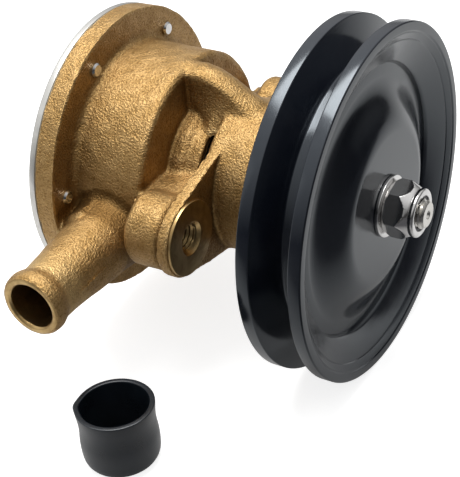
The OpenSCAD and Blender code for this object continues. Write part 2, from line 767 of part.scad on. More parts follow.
// Pulley: one turned piece with a V groove, a dished web and a long hub sleeve
hub_r = hub_d / 2;
hub_disc_r = hub_disc_d / 2;
groove_top_half = pulley_front - rim_land;
groove_floor_half = groove_floor_w / 2;
groove_floor_r = pulley_r - groove_depth;
face_ring_r = pulley_r - face_ring_w;
rim_step = 0.5;
crease_in = 1.4;
crease_sink = 6;
valley_w = 3.5;
valley_sink = 6.6;
shoulder_steps = 12;
module pulley() {
    crease_r = groove_floor_r - crease_in;
    crease_x = pulley_front - crease_sink;
    drop = hub_disc_rise + valley_sink;
    run = crease_r - valley_w - hub_disc_r;
    shoulder = [for (i = [0:shoulder_steps]) let (s = i / shoulder_steps)
        [hub_disc_r + run * s, hub_face - drop * (1 - cos(180 * s)) / 2]];
    color(black_paint) difference() {
        turned(concat(
            [[pulley_seat_r, hub_face]], shoulder,
            [[crease_r, crease_x], [face_ring_r, pulley_front], [pulley_r - rim_step, pulley_front],
             [pulley_r, pulley_front - rim_step], [pulley_r, groove_top_half],
             [groove_floor_r, groove_floor_half], [groove_floor_r, -groove_floor_half],
             [pulley_r, -groove_top_half], [pulley_r, pulley_rear + rim_step],
             [pulley_r - rim_step, pulley_rear], [face_ring_r, pulley_rear], [crease_r, -crease_x]],
            [for (i = [shoulder_steps:-1:0]) shoulder[i] - [0, pulley_web_t]],
            [[hub_r, hub_face - pulley_web_t], [hub_r, circlip_x], [pulley_seat_r, circlip_x]]));
        pulley_key_shape(pulley_key_h);
    }
}

// Fastening on the front of the pulley
washer_edge = 0.3;
module flat_washer() {
    bore_r = thread_r + free_gap;
    outer_r = washer_d / 2;
    color(bare_steel) turned([[bore_r, hub_face], [outer_r, hub_face], [outer_r, washer_face - washer_edge],
        [outer_r - washer_edge, washer_face], [bore_r, washer_face]]);
}
insert_t = 1.1;
insert_r = thread_r + insert_t;
insert_lip = 0.5;
nut_bevel_l = 3.5;
nut_turn = 32.5;
nut_rear_bevel_l = 1.8;
nut_seat_step = 1.4;
collar_chamfer = 0.7;
module lock_nut() {
    collar_r = nut_collar_d / 2;
    corner_r = nut_flats / 2 / cos(30);
    color(bare_steel) difference() {
        intersection() {
            union() {
                translate([washer_face, 0, 0]) rotate([nut_turn, 0, 0]) rotate([0, 90, 0])
                    cylinder(h = nut_hex_h, r = corner_r, $fn = 6);
                bar(nut_collar_x - over, nut_end, collar_r);
            }
            turned([[0, washer_face], [corner_r - nut_seat_step, washer_face],
                [corner_r + run_gap, washer_face + nut_rear_bevel_l],
                [corner_r + run_gap, nut_collar_x - nut_bevel_l], [collar_r, nut_collar_x],
                [collar_r, nut_end - collar_chamfer], [collar_r - collar_chamfer, nut_end], [0, nut_end]]);
        }
        bar(washer_face - over, nut_end + over, thread_r);
        bar(nut_collar_x, nut_end - insert_lip, insert_r);
    }
}
module nut_insert() {
    color(paper) ring(nut_collar_x, nut_end - insert_lip, thread_r, insert_r);
}

// Protective cap of one hose tail, standing beside the pump on the level of the rim
cap_x = -44.6;
cap_y = -85.2;
cap_round = 4.2;
cap_lip_h = 6;
cap_lip_round = 0.6;
module hose_tail_cap() {
    rim_r = cap_rim_d / 2;
    waist_r = cap_waist_d / 2;
    bore_r = cap_bore_d / 2;
    flare = rim_r - waist_r;
    lip_top = cap_h - cap_lip_round;
    color(black_rubber) translate([cap_x, cap_y, -pulley_r]) rotate_extrude($fn = fn_round) polygon(concat(
        [[0, 0]], arc(waist_r - cap_round, cap_round, cap_round, 270, 360),
        [for (i = [0:arc_steps]) let (s = i / arc_steps)
            [waist_r + flare * (1 - cos(180 * s)) / 2, cap_h - cap_lip_h + (cap_lip_h - flare) * s]],
        [[rim_r, lip_top], [rim_r - cap_lip_round, cap_h], [bore_r, cap_h],
         [bore_r, cap_floor_t], [0, cap_floor_t]]));
}

pump_body();
wear_plate();
cam();
cam_screw();
cover_gasket();
end_cover();
cover_screws();
seal_seat();
grease_seal();
rear_bearing_outer();
front_bearing_outer();
housing_circlip();
shaft();
impeller_bush();
impeller();
impeller_key();
seal_carbon();
seal_bellows();
seal_spring();
spring_washer_ring();
slinger();
slinger_washer();
shaft_circlip();
rear_bearing_inner();
bearing_spacer();
front_bearing_inner();
pulley();
pulley_key();
flat_washer();
lock_nut();
nut_insert();
rear_bearing_balls();
rear_bearing_cage();
front_bearing_balls();
front_bearing_cage();
hose_tail_cap();
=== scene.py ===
# %% [markdown]
# # A flexible impeller pump
#
# The pump moves cooling water with a rubber impeller, and an engine drives it through a V belt.
# Its body is one sand casting in bronze. At one end is a round cover, at the other a black pulley.
# A soft cap, taken off one of the two hose tails, stands beside it.
#
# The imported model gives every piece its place. This file gives each visible piece its real surface:
# the grain of the casting, the gloss of the paint, the threads of the nut.

import bmesh
import bpy
import numpy as np
from mathutils import Matrix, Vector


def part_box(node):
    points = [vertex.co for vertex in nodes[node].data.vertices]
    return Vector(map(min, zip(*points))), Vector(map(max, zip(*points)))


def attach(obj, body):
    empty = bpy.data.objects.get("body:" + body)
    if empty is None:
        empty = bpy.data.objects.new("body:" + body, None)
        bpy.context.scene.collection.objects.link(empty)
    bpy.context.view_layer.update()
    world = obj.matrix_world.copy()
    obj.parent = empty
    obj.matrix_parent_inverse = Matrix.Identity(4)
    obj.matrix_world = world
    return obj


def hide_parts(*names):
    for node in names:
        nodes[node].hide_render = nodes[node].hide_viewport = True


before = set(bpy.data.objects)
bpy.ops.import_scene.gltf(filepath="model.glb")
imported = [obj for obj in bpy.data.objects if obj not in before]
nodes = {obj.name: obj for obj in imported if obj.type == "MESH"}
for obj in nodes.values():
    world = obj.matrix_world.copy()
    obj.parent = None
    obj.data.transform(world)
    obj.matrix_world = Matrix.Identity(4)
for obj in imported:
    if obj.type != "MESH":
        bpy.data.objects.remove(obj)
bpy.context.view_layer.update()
MM = 0.001

# %% [markdown]
# ## Sizes
#
# All shapes below are worked out in millimetres, about the shaft, which lies along X. The turned
# pieces take their planes from the boxes of the CAD nodes. The casting is a single shape made of
# many simple ones, so the sizes of those are listed by name.

# %% Main planes and radii
def span(node):
    """Lowest and highest corner of a CAD node, in millimetres."""
    low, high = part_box(node)
    return np.array(low) / MM, np.array(high) / MM


pulley_low, pulley_high = span("pulley")
washer_low, washer_high = span("flat_washer")
nut_low, nut_high = span("lock_nut")
shaft_low, shaft_high = span("shaft")
cover_low, cover_high = span("end_cover")
cap_low, cap_high = span("hose_tail_cap")
body_low, body_high = span("pump_body")
ring_low, ring_high = span("slinger")
backing_low, backing_high = span("slinger_washer")
FLOOR_Z = pulley_low[2]
print("pulley", pulley_low.round(2), pulley_high.round(2), "floor", FLOOR_Z.round(2))

# %% Sizes of the casting
# Discs across the shaft: back, front, radius and, where it has one, the size of its rounded edge
FLANGE = (-93.1, -86.0, 50.5, 0.5)
DOME = (-90.0, -59.0, 38.9, 2.3)
NECK = (-60.0, -53.6, 23.5, 1.6)
NECK_LIP = (-60.0, -48.0, 22.1, 0.9)
BEARING_HOUSING = (-44.0, -12.5, 26.3, 1.4)
LUG_BOSS = (-57.0, -43.0, 12.4, 2.6)
DRAIN_GAP_BACK = (-50.8, -47.0, 19.6)
DRAIN_GAP_FRONT = (-48.0, -44.0, 21.2, 0.6)
CHAMBER = (-94.0, -65.5, 32.0)
SEAL_POCKET = (-66.0, -52.3, 13.0)
SHAFT_HOLE = (-53.0, -50.0, 10.0)
GREASE_SEAL_SEAT = (-45.0, -40.5, 11.4)
BEARING_SEAT = (-41.0, -11.5, 17.5)
LUG_HOLE = (-55.0, -37.0, 6.5)

# The mounting plate with its two lugs, and the low web behind each lug
PLATE_BACK, PLATE_FRONT, PLATE_R = -42.8, -39.0, 23.0
LUG_Y, LUG_R, LUG_FACE_R, LUG_FACE = 41.7, 13.4, 12.7, -38.0
LOW_WEB_BACK, LOW_WEB_FRONT, LOW_WEB_BOTTOM, LOW_WEB_TOP = -59.5, -43.5, -8.0, 9.0

# The upper web, whose ridge has these heights at these places along the shaft
WEB_BACK, WEB_FRONT, WEB_BOTTOM, WEB_HALF = -64.0, -30.0, 14.0, 5.0
RIDGE_AT = [-66, -60, -55, -50, -46, -42, -38, -34, -30]
RIDGE_HEIGHT = [38.2, 38.6, 38.9, 37.6, 35.6, 33.2, 30.7, 28.2, 25.4]

# The two hose tails, with their radius at places along them
TAIL_X = -73.5
TAIL_TURNS = np.radians([180.0, 335.0])
TAIL_ASIDE = (9.5, -9.5)
TAIL_END, PORT_R = 83.5, 8.0
TAIL_AT = [0, 30, 35, 38, 43, 48, 53, 60, 68, 75.5, 76.6, 78.0, 79.2, 80.4, 81.9, 82.6, 83.2, TAIL_END]
TAIL_R = [15, 14.2, 13.6, 13.3, 12.7, 12.2, 11.8, 11.2, 10.6, 10.15, 10.35, 10.85, 11.15, 11.2, 11.05,
          10.8, 10.45, 10.25]
print("tails turned by", np.degrees(TAIL_TURNS), "degrees, lugs", LUG_Y, "mm from the shaft")

# %% [markdown]
# ## Making a mesh from a turned profile
#
# Most pieces of this pump were made on a lathe, so each is a profile turned about the shaft.
# The whole grid of points is worked out at once: every profile point times every angle.

# %% Helpers for meshes
def finish_mesh(name, verts, faces, body, stands_for, material, sharp=30.0, values=None):
    """Puts points in millimetres and faces into a mesh, closes it, turns its faces outwards and shades it.

    values holds one number for each point under a name, which a material can read.
    """
    mesh = bpy.data.meshes.new(name)
    mesh.from_pydata((np.asarray(verts) * MM).tolist(), [], np.asarray(faces).tolist())
    for label, numbers in (values or {}).items():
        mesh.attributes.new(label, "FLOAT", "POINT").data.foreach_set("value", numbers.astype(np.float32))
    work = bmesh.new()
    work.from_mesh(mesh)
    bmesh.ops.remove_doubles(work, verts=work.verts, dist=1e-7)
    bmesh.ops.dissolve_degenerate(work, edges=work.edges, dist=1e-8)
    bmesh.ops.recalc_face_normals(work, faces=work.faces)
    work.to_mesh(mesh)
    work.free()
    mesh.shade_smooth()
    mesh.set_sharp_from_angle(angle=np.radians(sharp))
    piece = bpy.data.objects.new(name, mesh)
    bpy.context.scene.collection.objects.link(piece)
    mesh.materials.append(material)
    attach(piece, body)
    if stands_for:
        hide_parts(*stands_for)
    print(name, len(mesh.vertices), "points")
    return piece


def grid_faces(rows, columns, close_rows=False):
    """Quads between neighbours of a rows x columns grid, whose columns close into a ring."""
    i = np.arange(rows if close_rows else rows - 1)[:, None]
    j = np.arange(columns)[None, :]
    k, n = (i + 1) % rows, (j + 1) % columns
    quads = [i * columns + j, i * columns + n, k * columns + n, k * columns + j]
    return np.stack([q.ravel() for q in np.broadcast_arrays(*quads)], axis=1)


def turned(profile, steps=256, radius=None):
    """A profile of (radius, x) points turned about the shaft: (x, r cos a, r sin a) for a all the way round.

    radius(r, x, a) may change the radius with the angle, as on a nut or a thread.
    """
    profile = np.asarray(profile, dtype=float)
    a = np.linspace(0, 2 * np.pi, steps, endpoint=False)[None, :]
    r, x = profile[:, :1], profile[:, 1:]
    r = r + 0 * a if radius is None else radius(r, x, a)
    verts = np.stack([x + 0 * a, r * np.cos(a), r * np.sin(a)], axis=-1).reshape(-1, 3)
    closed = not (profile[0, 0] < 1e-6 and profile[-1, 0] < 1e-6)
    return verts, grid_faces(len(profile), steps, close_rows=closed)


def placed(verts, origin, axis, side):
    """Points turned about X, moved so that X lies along axis and Y along side from an origin."""
    axis, side = np.asarray(axis, float), np.asarray(side, float)
    return np.asarray(origin) + verts @ np.stack([axis, side, np.cross(axis, side)])


def joined(*shells):
    """Several (points, faces) pairs as one."""
    offsets = np.cumsum([0] + [len(verts) for verts, _ in shells[:-1]])
    return (np.concatenate([verts for verts, _ in shells]),
            np.concatenate([faces + offset for (_, faces), offset in zip(shells, offsets)]))


def rounded(corners, radii, steps=5):
    """A line through corners, each corner replaced by a curve of its own size.

    Each curve is a parabola from a point before the corner to one after it: (1-t)^2 A + 2t(1-t) C + t^2 B.
    """
    corners = np.asarray(corners, dtype=float)
    out = []
    for before, corner, after, size in zip(np.roll(corners, 1, 0), corners, np.roll(corners, -1, 0), radii):
        if size == 0:
            out.append(corner[None])
            continue
        back, ahead = before - corner, after - corner
        a = corner + back / np.linalg.norm(back) * min(size, np.linalg.norm(back) / 2)
        b = corner + ahead / np.linalg.norm(ahead) * min(size, np.linalg.norm(ahead) / 2)
        t = np.linspace(0, 1, steps)[:, None]
        out.append((1 - t) ** 2 * a + 2 * t * (1 - t) * corner + t ** 2 * b)
    return np.concatenate(out)


# %% [markdown]
# ## Shader groups
#
# Several finishes share an effect: the grain of cast or moulded skin, the rings that a lathe leaves,
# and the faint smudges of handling. Each is a node group that puts out plain values,
# so that the same effect can be set differently in each material.

# %% Helpers for node trees
def add(tree, kind, **values):
    """Adds a node and sets its inputs and properties by name."""
    made = tree.nodes.new(kind)
    for key, value in values.items():
        label = key.replace("_", " ")
        if label in made.inputs:
            made.inputs[label].default_value = value
        else:
            setattr(made, key, value)
    return made


def maths(tree, operation, a, b=None, clamp=False):
    """A Math node between two sockets or numbers; returns its output."""
    made = tree.nodes.new("ShaderNodeMath")
    made.operation, made.use_clamp = operation, clamp
    for i, value in enumerate((a, b)):
        if value is None:
            continue
        if isinstance(value, (int, float)):
            made.inputs[i].default_value = value
        else:
            tree.links.new(value, made.inputs[i])
    return made.outputs[0]


def new_group(name, inputs, outputs):
    """A node group with float or vector inputs and float outputs."""
    group = bpy.data.node_groups.new(name, "ShaderNodeTree")
    for label, kind, value in inputs:
        socket = group.interface.new_socket(label, in_out="INPUT", socket_type=kind)
        if value is not None:
            socket.default_value = value
    for label in outputs:
        group.interface.new_socket(label, in_out="OUTPUT", socket_type="NodeSocketFloat")
    return group, group.nodes.new("NodeGroupInput"), group.nodes.new("NodeGroupOutput")


# %% Grain of a cast or moulded skin
grain_group, grain_in, grain_out = new_group(
    "skin_grain",
    [("Vector", "NodeSocketVector", None), ("Grain per metre", "NodeSocketFloat", 1500.0),
     ("Lumps per metre", "NodeSocketFloat", 250.0)],
    ["Height", "Patches", "Grain"])
fine = add(grain_group, "ShaderNodeTexNoise", Detail=3.0, Roughness=0.55)
lumps = add(grain_group, "ShaderNodeTexNoise", Detail=3.0, Roughness=0.55)
for texture, scale in ((fine, "Grain per metre"), (lumps, "Lumps per metre")):
    grain_group.links.new(grain_in.outputs["Vector"], texture.inputs["Vector"])
    grain_group.links.new(grain_in.outputs[scale], texture.inputs["Scale"])
grain_height = maths(grain_group, "ADD", fine.outputs["Fac"],
                     maths(grain_group, "MULTIPLY", lumps.outputs["Fac"], 0.8))
grain_group.links.new(grain_height, grain_out.inputs["Height"])
grain_group.links.new(lumps.outputs["Fac"], grain_out.inputs["Patches"])
grain_group.links.new(fine.outputs["Fac"], grain_out.inputs["Grain"])

# %% Rings that a lathe leaves
rings_group, rings_in, rings_out = new_group(
    "lathe_rings",
    [("Radius", "NodeSocketFloat", 0.0), ("Rings per metre", "NodeSocketFloat", 3000.0)],
    ["Height"])
outwards = rings_group.nodes.new("ShaderNodeCombineXYZ")
rings_group.links.new(rings_in.outputs["Radius"], outwards.inputs["X"])
ring_noise = add(rings_group, "ShaderNodeTexNoise", Detail=2.0, Roughness=0.7)
rings_group.links.new(outwards.outputs["Vector"], ring_noise.inputs["Vector"])
rings_group.links.new(rings_in.outputs["Rings per metre"], ring_noise.inputs["Scale"])
rings_group.links.new(ring_noise.outputs["Fac"], rings_out.inputs["Height"])

# %% Smudges of handling
smudge_group, smudge_in, smudge_out = new_group(
    "handling_smudges",
    [("Vector", "NodeSocketVector", None), ("Smudges per metre", "NodeSocketFloat", 40.0)],
    ["Mask"])
smudge = add(smudge_group, "ShaderNodeTexNoise", Detail=5.0, Roughness=0.65, Distortion=0.6)
smudge_group.links.new(smudge_in.outputs["Vector"], smudge.inputs["Vector"])
smudge_group.links.new(smudge_in.outputs["Smudges per metre"], smudge.inputs["Scale"])
smudge_range = add(smudge_group, "ShaderNodeMapRange")
smudge_range.inputs["From Min"].default_value = 0.42
smudge_range.inputs["From Max"].default_value = 0.68
smudge_group.links.new(smudge.outputs["Fac"], smudge_range.inputs["Value"])
smudge_group.links.new(smudge_range.outputs["Result"], smudge_out.inputs["Mask"])


# %% Helpers for materials
def new_material(name, colour, metallic, roughness, **sockets):
    """A material with one Principled BSDF, and the Object coordinates it reads."""
    material = bpy.data.materials.new(name)
    material.use_nodes = True
    tree = material.node_tree
    skin = tree.nodes["Principled BSDF"]
    skin.inputs["Base Color"].default_value = (*colour, 1.0)
    skin.inputs["Metallic"].default_value = metallic
    skin.inputs["Roughness"].default_value = roughness
    for key, value in sockets.items():
        skin.inputs[key.replace("_", " ")].default_value = value
    place = tree.nodes.new("ShaderNodeTexCoord").outputs["Object"]
    return material, tree, skin, place


def use_group(tree, group, **values):
    """Places a group in a material; values are numbers or sockets."""
    made = tree.nodes.new("ShaderNodeGroup")
    made.node_tree = group
    for key, value in values.items():
        socket = made.inputs[key.replace("_", " ")]
        if isinstance(value, (int, float)):
            socket.default_value = value
        else:
            tree.links.new(value, socket)
    return made


def blend_colours(tree, factor, a, b):
    """Mixes two colours by a value; a and b are colours or sockets."""
    made = add(tree, "ShaderNodeMix", data_type="RGBA")
    tree.links.new(factor, made.inputs[0])
    for socket, value in ((made.inputs[6], a), (made.inputs[7], b)):
        if isinstance(value, tuple):
            socket.default_value = (*value, 1.0)
        else:
            tree.links.new(value, socket)
    return made.outputs[2]


def bump(tree, skin, height, strength, distance):
    """Feeds a height into the shader's normal."""
    made = add(tree, "ShaderNodeBump", Strength=strength, Distance=distance)
    tree.links.new(height, made.inputs["Height"])
    tree.links.new(made.outputs["Normal"], skin.inputs["Normal"])


def spread(tree, value, low, high, to_low=0.0, to_high=1.0):
    """Maps a value from one range to another."""
    made = tree.nodes.new("ShaderNodeMapRange")
    for key, number in (("From Min", low), ("From Max", high), ("To Min", to_low), ("To Max", to_high)):
        made.inputs[key].default_value = number
    tree.links.new(value, made.inputs["Value"])
    return made.outputs["Result"]


def split_axes(tree, place):
    """The three coordinates of a place, as outputs named X, Y and Z."""
    made = tree.nodes.new("ShaderNodeSeparateXYZ")
    tree.links.new(place, made.inputs[0])
    return made.outputs


def from_axis(tree, y, z):
    """Distance from an axis along X: sqrt(y^2 + z^2)."""
    return maths(tree, "SQRT", maths(tree, "ADD", maths(tree, "POWER", y, 2.0), maths(tree, "POWER", z, 2.0)))


# %% [markdown]
# ## Cast bronze
#
# Sand leaves a fine grain on bronze, and the skin turns from gold to brown where it is rough.
# The pits of the grain are darker. Painted shade darkens the inner corners and a painted highlight
# lightens the edges, so the mesh carries two values for each point, "hollow_shade" and "edge".
# Where a tool has cut the bronze, on the lug faces and at the mouths of the tails, it is smooth and
# shows rings. That is a finish of its own.

# %% Materials: cast and machined bronze
bronze, tree, skin, place = new_material("cast_bronze_skin", (0.62, 0.42, 0.18), 0.95, 0.44)
grain = use_group(tree, grain_group, Vector=place, Grain_per_metre=1500.0, Lumps_per_metre=210.0)
hollow_shade = add(tree, "ShaderNodeAttribute", attribute_name="hollow_shade").outputs["Fac"]
edge = add(tree, "ShaderNodeAttribute", attribute_name="edge").outputs["Fac"]
colour = blend_colours(tree, spread(tree, grain.outputs["Patches"], 0.32, 0.68),
                       (0.37, 0.224, 0.080), (0.51, 0.327, 0.136))
colour = blend_colours(tree, spread(tree, grain.outputs["Grain"], 0.30, 0.50), (0.25, 0.14, 0.045), colour)
# painted shade: hollows and inner corners darkened towards a deep brown
colour = blend_colours(tree, spread(tree, hollow_shade, 0.15, 0.85, 0.0, 0.8), colour, (0.16, 0.085, 0.024))
# painted highlight: convex edges lightened towards a pale gold
colour = blend_colours(tree, spread(tree, edge, 0.25, 0.8, 0.0, 0.6), colour, (0.70, 0.50, 0.23))
tree.links.new(colour, skin.inputs["Base Color"])
tree.links.new(spread(tree, grain.outputs["Grain"], 0.3, 0.7, 0.56, 0.36), skin.inputs["Roughness"])
bump(tree, skin, grain.outputs["Height"], 0.7, 0.0007)

cut_bronze, tree, skin, place = new_material("machined_bronze", (0.62, 0.42, 0.19), 1.0, 0.34)
smudged = use_group(tree, smudge_group, Vector=place, Smudges_per_metre=220.0)
tree.links.new(blend_colours(tree, smudged.outputs["Mask"], (0.52, 0.36, 0.16), (0.36, 0.235, 0.095)),
               skin.inputs["Base Color"])
tree.links.new(spread(tree, smudged.outputs["Mask"], 0.0, 1.0, 0.30, 0.42), skin.inputs["Roughness"])
axes = split_axes(tree, place)
from_lug = maths(tree, "SUBTRACT", maths(tree, "ABSOLUTE", axes["Y"]), LUG_Y * MM)
rings = use_group(tree, rings_group, Radius=from_axis(tree, from_lug, axes["Z"]), Rings_per_metre=2600.0)
bump(tree, skin, rings.outputs["Height"], 0.35, 0.0002)

# %% [markdown]
# ## Black pulley paint
#
# The pulley has a thick gloss paint, nearly black with a trace of blue. What shows on it is
# mostly what it reflects, so its shape has to be smooth, and its faults are faint.

# %% Material: gloss paint
paint, tree, skin, place = new_material("pulley_gloss_paint", (0.008, 0.010, 0.015), 0.0, 0.12,
                                        Specular_Tint=(0.86, 0.94, 1.0, 1.0), Specular_IOR_Level=0.75)
smudged = use_group(tree, smudge_group, Vector=place, Smudges_per_metre=35.0)
tree.links.new(spread(tree, smudged.outputs["Mask"], 0.0, 1.0, 0.13, 0.24), skin.inputs["Roughness"])
tree.links.new(blend_colours(tree, smudged.outputs["Mask"], (0.007, 0.009, 0.015), (0.013, 0.015, 0.021)),
               skin.inputs["Base Color"])
axes = split_axes(tree, place)
rings = use_group(tree, rings_group, Radius=from_axis(tree, axes["Y"], axes["Z"]), Rings_per_metre=900.0)
bump(tree, skin, rings.outputs["Height"], 0.12, 0.0001)


# %% [markdown]
# ## Metals that a lathe has turned
#
# The washer, nut, screws, shaft and bearing rings are steel in several finishes. They share one
# recipe: a base colour with slight patches, rings about the shaft, and their own roughness.

# %% Materials: turned and sheet metals
def turned_metal(name, colour, roughness, ring_height=0.1):
    """A metal with lathe rings about the shaft, and patches that are a little darker than the rest."""
    material, tree, skin, place = new_material(name, colour, 1.0, roughness)
    axes = split_axes(tree, place)
    rings = use_group(tree, rings_group, Radius=from_axis(tree, axes["Y"], axes["Z"]), Rings_per_metre=4000.0)
    smudged = use_group(tree, smudge_group, Vector=place, Smudges_per_metre=180.0)
    tree.links.new(blend_colours(tree, smudged.outputs["Mask"], colour, tuple(0.88 * c for c in colour)),
                   skin.inputs["Base Color"])
    tree.links.new(spread(tree, smudged.outputs["Mask"], 0.0, 1.0, roughness * 0.85, roughness * 1.2),
                   skin.inputs["Roughness"])
    bump(tree, skin, rings.outputs["Height"], ring_height, 0.0003)
    return material


bright_steel = turned_metal("bright_stainless", (0.68, 0.67, 0.66), 0.15)
sheet_steel = turned_metal("stainless_sheet", (0.66, 0.65, 0.62), 0.34, ring_height=0.05)
ground_steel = turned_metal("ground_bearing_steel", (0.62, 0.62, 0.62), 0.2, ring_height=0.05)
shaft_steel = turned_metal("turned_shaft_steel", (0.64, 0.62, 0.58), 0.24)
cage_steel = turned_metal("pressed_cage_steel", (0.52, 0.50, 0.46), 0.36)
bush_brass = turned_metal("turned_brass", (0.66, 0.50, 0.24), 0.3)


# %% [markdown]
# ## Rubber, vinyl and the small inner finishes
#
# The cap is soft vinyl with a dull sheen. The slinger, bellows and impeller are moulded rubber.
# Each has a moulded grain, finer than that of the casting.

# %% Materials: moulded and pressed
def moulded(name, colour, roughness, height=0.12, lighter=1.5):
    """A moulded material: one colour, slightly lighter patches, fine grain."""
    material, tree, skin, place = new_material(name, colour, 0.0, roughness)
    grain = use_group(tree, grain_group, Vector=place, Grain_per_metre=3000.0, Lumps_per_metre=120.0)
    tree.links.new(blend_colours(tree, spread(tree, grain.outputs["Patches"], 0.35, 0.7),
                                 colour, tuple(min(1.0, lighter * c) for c in colour)),
                   skin.inputs["Base Color"])
    tree.links.new(spread(tree, grain.outputs["Patches"], 0.3, 0.7, roughness * 0.85, roughness * 1.15),
                   skin.inputs["Roughness"])
    bump(tree, skin, grain.outputs["Height"], height, 0.0003)
    return material


cap_vinyl = moulded("soft_black_vinyl", (0.006, 0.009, 0.013), 0.31, height=0.08)
seal_rubber = moulded("black_seal_rubber", (0.012, 0.012, 0.013), 0.42)
vane_rubber = moulded("impeller_rubber", (0.015, 0.015, 0.016), 0.5)
ceramic = moulded("lapped_ceramic", (0.80, 0.78, 0.74), 0.18, lighter=1.1, height=0.02)
carbon = moulded("lapped_carbon", (0.03, 0.03, 0.033), 0.35, height=0.05)
gasket_fibre = moulded("gasket_fibre", (0.30, 0.25, 0.17), 0.8, lighter=1.3, height=0.3)
insert_nylon = moulded("insert_nylon", (0.10, 0.10, 0.11), 0.5, lighter=1.3)

# %% [markdown]
# ## Finishes of the CAD pieces
#
# The bearings, the seal, the impeller and the cover's screws are right as they are. They keep their
# CAD shape and only get a finish, because most of them show only when the pump is taken apart.
# The rest get the same finish as the visible piece that stands for them below.

# %% Give CAD nodes their finish
finish_of = {
    "wear_plate": sheet_steel, "cam": bronze, "cam_screw": bright_steel, "cover_screws": bright_steel,
    "seal_seat": ceramic, "grease_seal": seal_rubber, "rear_bearing_outer": ground_steel,
    "front_bearing_outer": ground_steel, "housing_circlip": ground_steel, "shaft": shaft_steel,
    "impeller_bush": bush_brass, "impeller": vane_rubber, "impeller_key": shaft_steel, "seal_carbon": carbon,
    "seal_bellows": seal_rubber, "seal_spring": ground_steel, "spring_washer_ring": sheet_steel,
    "shaft_circlip": ground_steel, "rear_bearing_inner": ground_steel, "bearing_spacer": ground_steel,
    "front_bearing_inner": ground_steel, "pulley_key": shaft_steel, "nut_insert": insert_nylon,
    "rear_bearing_balls": ground_steel, "rear_bearing_cage": cage_steel,
    "front_bearing_balls": ground_steel, "front_bearing_cage": cage_steel,
    "cover_gasket": gasket_fibre, "end_cover": sheet_steel, "slinger": seal_rubber,
    "slinger_washer": bright_steel, "flat_washer": bright_steel, "lock_nut": bright_steel,
    "pulley": paint, "pump_body": bronze, "hose_tail_cap": cap_vinyl,
}
for node_name, material in finish_of.items():
    for slot in nodes[node_name].material_slots:
        slot.material = material
print("finished", len(finish_of), "of", len(nodes), "nodes")

# %% [markdown]
# ## The casting
#
# A casting has no sharp inner corners: metal flows into a soft curve wherever two shapes meet.
# Such a body is hard to build from faces, so it is worked out as a distance field, a function
# that says how far any point is from the surface, and is negative inside. Two shapes are joined
# with a smooth minimum, which fills the corner between them. What a tool cut later is taken away
# with a plain maximum, which leaves a sharp edge.

# %% Distance fields
def join(a, b, soft):
    """The smaller of two distances, rounded off over a width of soft."""
    h = np.clip(0.5 + 0.5 * (b - a) / soft, 0, 1)
    return b * (1 - h) + a * h - soft * h * (1 - h)


def disc(p, x0, x1, r, edge=0.0):
    """Distance to a round disc between two planes across the shaft, with rounded edges."""
    d = np.hypot(p[1], p[2]) - (r - edge)
    h = np.maximum(x0 + edge - p[0], p[0] - (x1 - edge))
    return np.hypot(np.maximum(d, 0), np.maximum(h, 0)) + np.minimum(np.maximum(d, h), 0) - edge


def slab(outline, beyond, edge):
    """Distance to what two boundaries enclose, given the distance to each, with a rounded edge."""
    a, b = outline + edge, beyond + edge
    return np.hypot(np.maximum(a, 0), np.maximum(b, 0)) + np.minimum(np.maximum(a, b), 0) - edge


def block(p, low, high, edge):
    """Distance to a box with rounded edges."""
    q = [np.maximum(low[i] + edge - p[i], p[i] - (high[i] - edge)) for i in range(3)]
    out = np.sqrt(sum(np.maximum(v, 0) ** 2 for v in q))
    return out + np.minimum(np.maximum(np.maximum(q[0], q[1]), q[2]), 0) - edge


def teardrop(u, v, r1, r2, d):
    """Distance to the outline that wraps a circle r1 at the origin and a circle r2 at distance d along u."""
    v = np.abs(v)
    b = (r1 - r2) / d
    a = np.sqrt(1 - b * b)
    k = u * a - v * b
    wrap = v * a + u * b - r1
    return np.where(k < 0, np.hypot(u, v) - r1, np.where(k > a * d, np.hypot(u - d, v) - r2, wrap))


def tail_frame(p, side):
    """Place along a hose tail, and distance from its axis."""
    c, s = np.cos(TAIL_TURNS[side]), np.sin(TAIL_TURNS[side])
    along = p[1] * c + p[2] * s
    across = p[2] * c - p[1] * s - TAIL_ASIDE[side]
    return along, np.hypot(p[0] - TAIL_X, across)


def tail_field(p, side):
    """Distance to the outside of a hose tail, whose radius changes along it."""
    along, r = tail_frame(p, side)
    d = (r - np.interp(along, TAIL_AT, TAIL_R)) * 0.97
    return np.maximum(d, np.maximum(along - (TAIL_END - 0.2), 12.0 - along))


def beside(p, side):
    """The same points, seen from the axis of the lug on one side, -1 or 1."""
    return p[0], p[1] - side * LUG_Y, p[2]


def body_field(p):
    """Distance to the pump body: the flange, the dome, the neck and the two tails, each on a foot."""
    body = join(disc(p, *FLANGE), disc(p, *DOME), 3.4)
    for side in (0, 1):
        along, r = tail_frame(p, side)
        foot = slab(np.maximum(r - 13.6, p[0] + 77.0), along - 49.0, 2.0)
        tail = join(tail_field(p, side), np.maximum(np.maximum(foot, 30.0 - along), -88.0 - p[0]), 1.5)
        body = join(body, tail, 2.6)
    return join(body, join(disc(p, *NECK), disc(p, *NECK_LIP), 1.5), 1.4)


def upper_web_field(p):
    """Distance to the upper web, whose ridge is crowned by 1.7 (y / half)^2 and whose root flares."""
    crown = (p[2] - np.interp(p[0], RIDGE_AT, RIDGE_HEIGHT) + 1.7 * (p[1] / WEB_HALF) ** 2) * 0.85
    root = np.clip((33.0 - p[2]) / 13.0, 0, 1) ** 2 * np.clip((p[0] + 56.0) / 7.0, 0, 1)
    web = slab((np.abs(p[1]) - WEB_HALF - 5.0 * root) * 0.93, crown, 1.1)
    return np.maximum(web, np.maximum(WEB_BOTTOM - p[2], np.maximum(WEB_BACK - p[0], p[0] - WEB_FRONT)))


